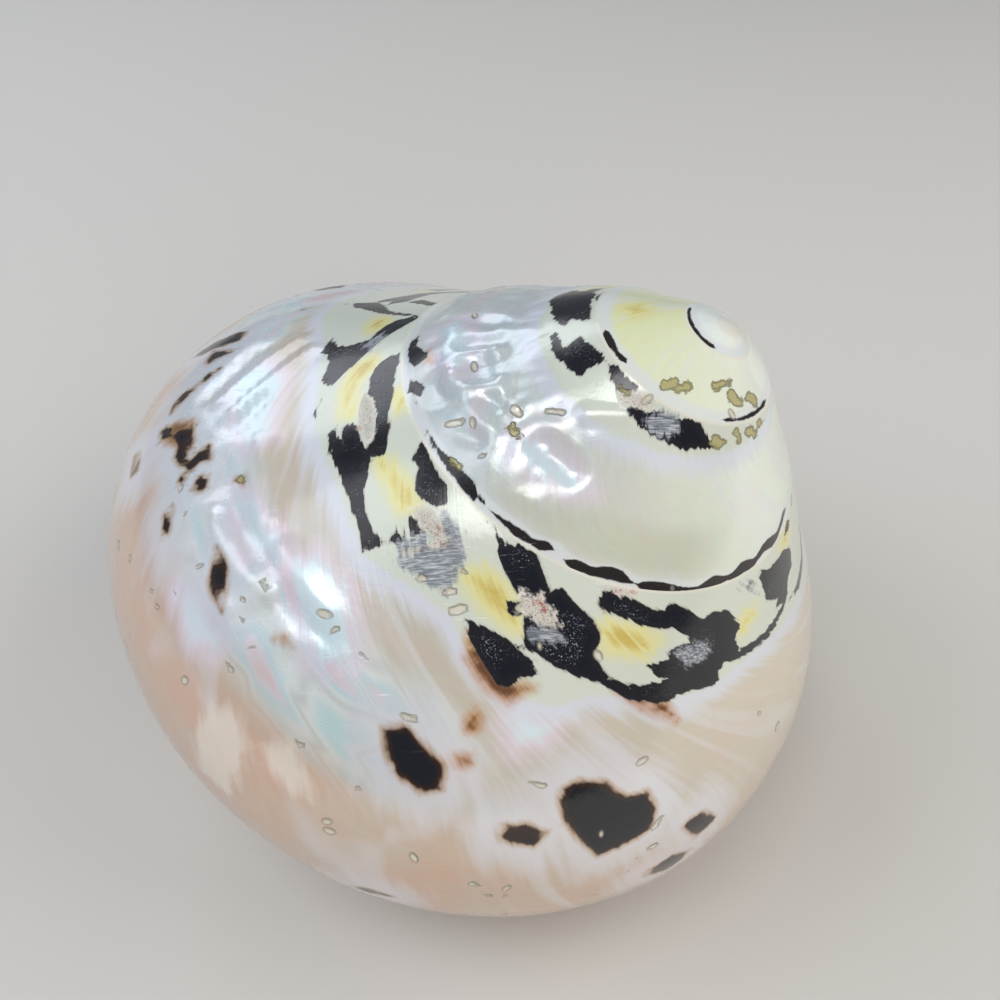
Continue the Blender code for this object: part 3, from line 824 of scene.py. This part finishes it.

# The silvery nacre in the folded and dented zones, with its play of cyan, pink and white painted in as
# iridescent sheen. The washes of colour are listed from the lowest up, each with its share of the surface,
# and laid over one another at the end.
play_place = add(coat, "ShaderNodeMapping", inputs={"Vector": line_place, "Scale": (0.10, 0.19, 1.0)})
play = add(coat, NOISE, {"noise_dimensions": "2D"},
    {"Vector": play_place, "Scale": 1.0, "Detail": 1.5, "Roughness": 0.45, "Distortion": 0.4})
silver_and_sheen_colours = add(coat, "ShaderNodeValToRGB", inputs={0: play})
SILVER_AND_SHEEN = ((0.28, "#dccbd1"), (0.36, "#dad8e2"), (0.43, "#c1dee8"), (0.50, "#dde8ea"), (0.56, "#c8d3d5"),
        (0.62, "#e0e9e9"), (0.70, "#bfe2e8"), (0.80, "#e2d3dc"))
stops = silver_and_sheen_colours.color_ramp.elements
while len(stops) < len(SILVER_AND_SHEEN):
    stops.new(0.5)
for stop, (share, code) in zip(stops, SILVER_AND_SHEEN):
    stop.position = share
    stop.color = linear(code)
silver_zone = add(coat, MATH, LARGER, {0: masks["wrinkled"], 1: masks["hammered"]})
silver_and_sheen_share = add(coat, MATH, TIMES_PLUS, {0: masks["wrinkled"], 1: 0.72, 2: 0.10})
silver_and_sheen_share = add(coat, MATH, TIMES_PLUS, {0: masks["hammered"], 1: 0.25, 2: silver_and_sheen_share})
# Of these washes, the greyer band above the next seam is painted shade in the crease between the turns.
washes = [
    (rosy_share, "#c2a18a"), (milk_share, "#d3d6de"), (masks["dusky"], "#bcbeac"),
    (silver_and_sheen_share, silver_and_sheen_colours),
]

# A pale ribbon runs along each seam, on the older turn.
off_line = masks["off_line"]
ribbon = add(coat, RANGE, SMOOTHLY, {"Value": off_line, "From Min": 1.1, "From Max": 0.5, "To Max": 0.8})
washes.append((ribbon, "#d2d8da"))

# The skin and its pigments. A layer starts and is full at so many mm inside its outline, frays and
# crumbles by so many mm, and has a colour and a strength.
LAYERS = (
    # The first two layers are painted iridescent sheen and highlight, cyan and white with a pinkish edge.
    ("painted_sheen", -2.6, 0.0, 1.4, 0.3, "#dccfe0", 0.6),
    ("painted_sheen", -0.8, 1.2, 1.2, 0.4, "#c8e6ec", 0.7),
    ("cream", -1.2, 0.8, 1.4, 0.4, "#dad3c8", 0.75),
    ("spot", -5.5, -0.8, 2.0, 0.3, "#d0d3dc", 0.7),
    ("skin", -2.4, -0.2, 1.2, 0.2, "#cdd3df", 0.85),
    ("skin", 0.1, 0.9, 0.6, 0.2, "#c9d0c4", 0.95),
    ("ochre", -1.7, 0.3, 1.0, 0.3, "#dad590", 0.9),
    ("ochre", -0.2, 1.2, 1.0, 0.4, "#bda13c", 0.75),
    ("amber", -0.9, 0.5, 0.5, 0.3, "#b07a3c", 0.8),
    ("amber", 0.0, 0.8, 0.5, 0.3, "#57300f", 0.9),
    ("spot", -0.75, 0.0, 0.4, 0.15, "#a98559", 0.7),
    ("spot", -0.25, 0.15, 0.3, 0.15, "#2c1a10", 1.0),
    ("spot", 0.15, 0.6, 0.3, 0.15, "#10121b", 1.0),
    ("black", -0.22, 0.10, 0.40, 0.18, "#6b5f58", 0.5),
    ("black", -0.06, 0.08, 0.40, 0.18, "#17161c", 1.0),
    ("black", 0.2, 0.8, 0.4, 0.2, "#0c0f19", 1.0),
    ("chalk", -0.3, 0.3, 0.5, 1.4, "#dbd6cc", 0.95),
    ("grey", -0.3, 0.4, 0.8, 0.8, "#646b76", 0.9),
    ("red", -0.2, 0.5, 0.5, 1.4, "#a34a3e", 0.9),
)
pigment = 0.0
for name, start, full, frayed, crumbled, code, strength in LAYERS:
    worn = add(coat, MATH, TIMES_PLUS, {0: fray, 1: frayed, 2: masks[name]})
    worn = add(coat, MATH, TIMES_PLUS, {0: crumbs, 1: crumbled, 2: worn})
    share = add(coat, RANGE, SMOOTHLY,
        {"Value": worn, "From Min": start, "From Max": full, "To Max": strength})
    washes.append((share, code))
    if name == "black":
        flame = share
    if name in ("black", "spot") and strength == 1.0:
        pigment = add(coat, MATH, LARGER, {0: pigment, 1: share})
    if name == "grey":
        rubbed = share

# The line along the seam, and the white edge of the next turn below it.
from_line = add(coat, MATH, {"operation": "ABSOLUTE"}, {0: off_line})
in_line = add(coat, MATH, MINUS, {0: masks["line_half"], 1: from_line})
in_line = add(coat, MATH, TIMES_PLUS, {0: crumbs, 1: 0.25, 2: in_line})
line_share = add(coat, RANGE, SMOOTHLY, {"Value": in_line, "From Min": -0.10, "From Max": 0.08})
washes.append((line_share, "#211b1a"))
lip = add(coat, RANGE, SMOOTHLY, {"Value": below, "From Min": 0.35, "From Max": 0.15, "To Max": 0.8})
washes.append((lip, "#dcd9cd"))
pigment = add(coat, MATH, LARGER, {0: pigment, 1: line_share})

# Brushed lines in the rubbed grey, and worn specks a fifth of a millimetre across in the black, which
# come in clusters.
brushed_place = add(coat, "ShaderNodeMapping",
    inputs={"Vector": in_mm, "Rotation": (0.2, 0.3, 0.9), "Scale": (0.5, 7.0, 5.0)})
brushed = add(coat, NOISE, inputs={"Vector": brushed_place, "Scale": 1.0, "Detail": 3.0,
    "Roughness": 0.6})
brushed_share = add(coat, RANGE,
    inputs={"Value": brushed, "From Min": 0.45, "From Max": 0.66, "To Max": 0.8})
brushed_share = add(coat, MATH, TIMES, {0: brushed_share, 1: rubbed})
washes.append((brushed_share, "#cdd2d8"))
specks = add(coat, NOISE, inputs={"Vector": in_mm, "Scale": 5.5, "Detail": 2.0, "Roughness": 0.7})
clusters = add(coat, NOISE, inputs={"Vector": in_mm, "Scale": 0.22, "Detail": 1.0})
cluster_share = add(coat, RANGE, SMOOTHLY, {"Value": clusters, "From Min": 0.46, "From Max": 0.66})
speck_share = add(coat, RANGE, inputs={"Value": specks, "From Min": 0.58, "From Max": 0.70,
    "To Max": 0.75})
speck_share = add(coat, MATH, TIMES, {0: speck_share, 1: cluster_share})
speck_share = add(coat, MATH, TIMES, {0: speck_share, 1: flame})
washes.append((speck_share, "#a7adb4"))
holes = add(coat, RANGE, inputs={"Value": specks, "From Min": 0.44, "From Max": 0.34, "To Max": 0.7})
chalk_only = add(coat, RANGE, inputs={"Value": masks["chalk"], "From Min": -0.2, "From Max": 0.4})
hole_share = add(coat, MATH, TIMES, {0: holes, 1: chalk_only})
washes.append((hole_share, "#5f4f48"))

# Oval pits up to two millimetres long, about one to every two square centimetres, besides those listed.
PIT_SPACING = 6.0
PIT_RADIUS = 0.085
pit_place = add(coat, "ShaderNodeVectorMath", {"operation": "SCALE"},
    {0: in_mm, "Scale": 1 / PIT_SPACING})
pit_cell = add(coat, "ShaderNodeTexVoronoi",
    inputs={"Vector": pit_place, "Scale": 1.0, "Randomness": 1.0})
from_pit = add(coat, "ShaderNodeVectorMath", MINUS, {0: pit_place, 1: pit_cell.outputs["Position"]})
pit_turn = add(coat, "ShaderNodeSeparateXYZ", inputs={0: pit_cell.outputs["Color"]})
pit_angle = add(coat, MATH, TIMES, {0: pit_turn.outputs[0], 1: TURN})
turned_pit = add(coat, "ShaderNodeVectorRotate", {"rotation_type": "AXIS_ANGLE"},
    {"Vector": from_pit, "Axis": (0.3, 0.4, 0.87), "Angle": pit_angle})
oval = add(coat, "ShaderNodeVectorMath", TIMES, {0: turned_pit, 1: (0.55, 1.3, 0.8)})
pit_reach = add(coat, "ShaderNodeVectorMath", {"operation": "LENGTH"}, {0: oval}).outputs["Value"]
pit_inside = add(coat, MATH, MINUS, {0: PIT_RADIUS, 1: pit_reach})
pit_inside = add(coat, MATH, TIMES, {0: pit_inside, 1: PIT_SPACING})
set_pit = add(coat, MATH, TIMES_PLUS, {0: crumbs, 1: 0.25, 2: masks["pit"]})
pit_inside = add(coat, MATH, LARGER, {0: pit_inside, 1: set_pit})
olive_inside = add(coat, MATH, TIMES_PLUS, {0: crumbs, 1: 0.9, 2: masks["olive"]})
# Each pit gets a darker ring at its edge, painted shade where the pit wall falls away, over its own cream
# or olive floor.
for inside_mm, edge_shade_code, floor_code, floor_strength in (
    (pit_inside, "#8a8273", "#d9d5c5", 0.75), (olive_inside, "#857f58", "#aaa36c", 0.8),
):
    pit_edge_shade = add(coat, RANGE, SMOOTHLY,
        {"Value": inside_mm, "From Min": -0.06, "From Max": 0.03, "To Max": 0.45})
    washes.append((pit_edge_shade, edge_shade_code))
    floor_share = add(coat, RANGE, SMOOTHLY,
        {"Value": inside_mm, "From Min": 0.03, "From Max": 0.16, "To Max": floor_strength})
    washes.append((floor_share, floor_code))
colour = ground.outputs[0]
for share, tone in washes:
    tone = linear(tone) if isinstance(tone, str) else tone
    colour = add(coat, "ShaderNodeMix", {"data_type": "RGBA"}, {0: share, 6: colour, 7: tone}).outputs[2]
coat.links.new(colour, shader.inputs["Base Color"])

# Fine relief in the gloss: pits, growth lines about half a millimetre apart, and hair scratches.
pit_depth = add(coat, MATH, LARGER, {0: pit_inside, 1: olive_inside})
pit_depth = add(coat, RANGE, SMOOTHLY, {"Value": pit_depth, "From Min": -0.05, "From Max": 0.30})
line_fine = add(coat, "ShaderNodeMapping", inputs={"Vector": line_place, "Scale": (2.0, 0.14, 1.0)})
growth_lines = add(coat, NOISE, {"noise_dimensions": "2D"},
    {"Vector": line_fine, "Scale": 1.0, "Detail": 3.0, "Roughness": 0.6})
scratch_place = add(coat, "ShaderNodeMapping",
    inputs={"Vector": in_mm, "Rotation": (0.5, 0.9, 0.7), "Scale": (0.25, 5.0, 2.2)})
scratch_noise = add(coat, NOISE, inputs={"Vector": scratch_place, "Scale": 1.0, "Detail": 2.0})
scratches = add(coat, RANGE, inputs={"Value": scratch_noise, "From Min": 0.68, "From Max": 0.74})
crumple = add(coat, NOISE, inputs={"Vector": in_mm, "Scale": 0.22, "Detail": 1.0, "Roughness": 0.4,
    "Distortion": 0.3})
crumple_share = add(coat, MATH, TIMES, {0: crumple, 1: silver_zone})
chalk_relief = add(coat, MATH, TIMES, {0: specks, 1: chalk_only})
height = add(coat, MATH, TIMES, {0: growth_lines, 1: 0.010})
for pattern, depth in (
    (pit_depth, -0.30), (scratches, -0.012), (crumple_share, 0.18), (grain, 0.02), (chalk_relief, 0.30),
):
    height = add(coat, MATH, TIMES_PLUS, {0: pattern, 1: depth, 2: height})
relief_bump = add(coat, "ShaderNodeBump", inputs={"Strength": 1.0, "Distance": 0.001, "Height": height})
coat.links.new(relief_bump.outputs[0], shader.inputs["Normal"])

# Buffed gloss: smoother on the nacre than on the chalky and rubbed parts of the skin.
dull = add(coat, MATH, LARGER, {0: chalk_only, 1: rubbed})
smoothness = add(coat, RANGE, inputs={"Value": grain, "From Min": 0.3, "From Max": 0.7, "To Min": 0.13,
    "To Max": 0.21})
roughness = add(coat, MATH, TIMES_PLUS, {0: dull, 1: 0.25, 2: smoothness})
roughness = add(coat, MATH, TIMES_PLUS, {0: silver_zone, 1: 0.08, 2: roughness})
coat.links.new(roughness.outputs[0], shader.inputs["Roughness"])
no_pigment = add(coat, MATH, MINUS, {0: 1.0, 1: pigment})
pearl = add(coat, MATH, TIMES_PLUS, {0: silver_zone, 1: 0.20, 2: 0.08})
pearl = add(coat, MATH, TIMES, {0: pearl, 1: no_pigment})
coat.links.new(pearl.outputs[0], shader.inputs["Metallic"])
shader.inputs["IOR"].default_value = 1.58
shader.inputs["Coat Weight"].default_value = 0.20
shader.inputs["Coat Roughness"].default_value = 0.06


def link_new(name, mesh):
    made = bpy.data.objects.new(name, mesh)
    bpy.context.scene.collection.objects.link(made)
    return made


def plain_mesh(made):
    """The evaluated shape as a plain mesh, with the modifiers gone."""
    graph = bpy.context.evaluated_depsgraph_get()
    mesh = bpy.data.meshes.new_from_object(
        made.evaluated_get(graph), preserve_all_data_layers=True, depsgraph=graph)
    made.modifiers.clear()
    made.data = mesh


shell = link_new("nacre_shell", sheet)
hollow = link_new("mouth_hollow", hollow_sheet)
for piece, relief_scale in ((shell, 1.0), (hollow, 0.0)):
    wind = piece.modifiers.new("winding", "NODES")
    wind.node_group = winding
    for name, value in WINDING.items():
        if name.endswith(" height") and name != "Tip height":
            value *= relief_scale
        wind[winding_inputs[name].identifier] = value
    wind[winding_inputs["Material"].identifier] = nacre
    plain_mesh(piece)
for piece in (shell, hollow):
    form = bmesh.new()
    form.from_mesh(piece.data)
    bmesh.ops.recalc_face_normals(form, faces=form.faces)
    form.to_mesh(piece.data)
    form.free()
heights = np.array([vertex.co[:] for vertex in shell.data.vertices])
above_floor = heights[heights[:, 2] > 0][:, :2]
aside = (above_floor.min(axis=0) + above_floor.max(axis=0)) / 2
for piece in (shell, hollow):
    piece.data.transform(Matrix.Translation((-aside[0], -aside[1], 0)))
floor_cut = bpy.data.meshes.new("floor_cut")
form = bmesh.new()
bmesh.ops.create_cube(form, size=1)
bmesh.ops.translate(form, verts=form.verts, vec=(0, 0, -0.5))
form.to_mesh(floor_cut)
form.free()
floor_block = link_new("floor_block", floor_cut)
for cutter in (hollow, floor_block):
    cut = shell.modifiers.new(cutter.name, "BOOLEAN")
    cut.operation = "DIFFERENCE"
    cut.object = cutter
plain_mesh(shell)
for cutter in (hollow, floor_block):
    bpy.data.objects.remove(cutter)
for name in ("unwound", "wrinkled_relief", "hammered_relief", "fold_relief"):
    layer = shell.data.attributes.get(name)
    if layer:
        shell.data.attributes.remove(layer)
shell.data.materials.clear()
shell.data.materials.append(nacre)
shell.data.shade_smooth()
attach(shell, "root")
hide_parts("turban_shell")

# The floor, the lights and the camera. A plain pale floor and plain soft studio light; the camera looks
# down at 45 degrees from as near as the photograph was taken, which gives its strong perspective.
tip_place = Vector((-aside[0], -aside[1], TIP_HEIGHT))
floor_form = bmesh.new()
bmesh.ops.create_grid(floor_form, x_segments=1, y_segments=1, size=1.5)
floor_mesh = bpy.data.meshes.new("studio_floor")
floor_form.to_mesh(floor_mesh)
floor_form.free()
studio_floor = link_new("studio_floor", floor_mesh)
paper = bpy.data.materials.new("matt_paper")
paper.use_nodes = True
paper.node_tree.nodes["Principled BSDF"].inputs["Base Color"].default_value = linear("#c9c7c3")
paper.node_tree.nodes["Principled BSDF"].inputs["Roughness"].default_value = 0.9
floor_mesh.materials.append(paper)

# Only the three windows are seen in the gloss.
LIGHTS = (
    ("overhead_window", (-0.11, -0.16, 0.55), 0.20, 0.55, "#ffffff", True),
    ("back_left_window", (-0.24, 0.34, 0.33), 0.26, 0.40, "#f2f6ff", True),
    ("left_window", (-0.36, -0.03, 0.47), 0.22, 0.20, "#f4f8ff", True),
    ("left_softbox", (-0.50, -0.05, 0.40), 0.50, 1.85, "#eef5ff", False),
    ("fill_front", (0.25, -0.55, 0.28), 0.50, 2.10, "#fff1e2", False),
    ("fill_right", (0.50, 0.00, 0.42), 0.50, 2.10, "#fbfaf6", False),
)
middle_of_shell = Vector((0.0, 0.0, 0.03))
for name, place, side, power, tint, mirrored in LIGHTS:
    lamp = bpy.data.lights.new(name, "AREA")
    lamp.size = side
    lamp.energy = power
    lamp.color = linear(tint)[:3]
    light = link_new(name, lamp)
    light.location = place
    light.visible_glossy = mirrored
    light.rotation_euler = (middle_of_shell - Vector(place)).to_track_quat("-Z", "Y").to_euler()
world = bpy.data.worlds.new("studio")
world.use_nodes = True
world.node_tree.nodes["Background"].inputs["Color"].default_value = linear("#c9ced6")
world.node_tree.nodes["Background"].inputs["Strength"].default_value = 0.30
bpy.context.scene.world = world
bpy.context.scene.view_settings.view_transform = "Standard"

camera_data = bpy.data.cameras.new("camera")
camera_data.sensor_width = 36
camera_data.lens = 36
camera_data.clip_start = 0.005
camera = link_new("camera", camera_data)
CAMERA_FROM_TIP = Vector((-0.0213, -0.0758, 0.05355))
camera.location = tip_place + CAMERA_FROM_TIP
camera.rotation_euler = (math.radians(45), 0, 0)
bpy.context.scene.camera = camera
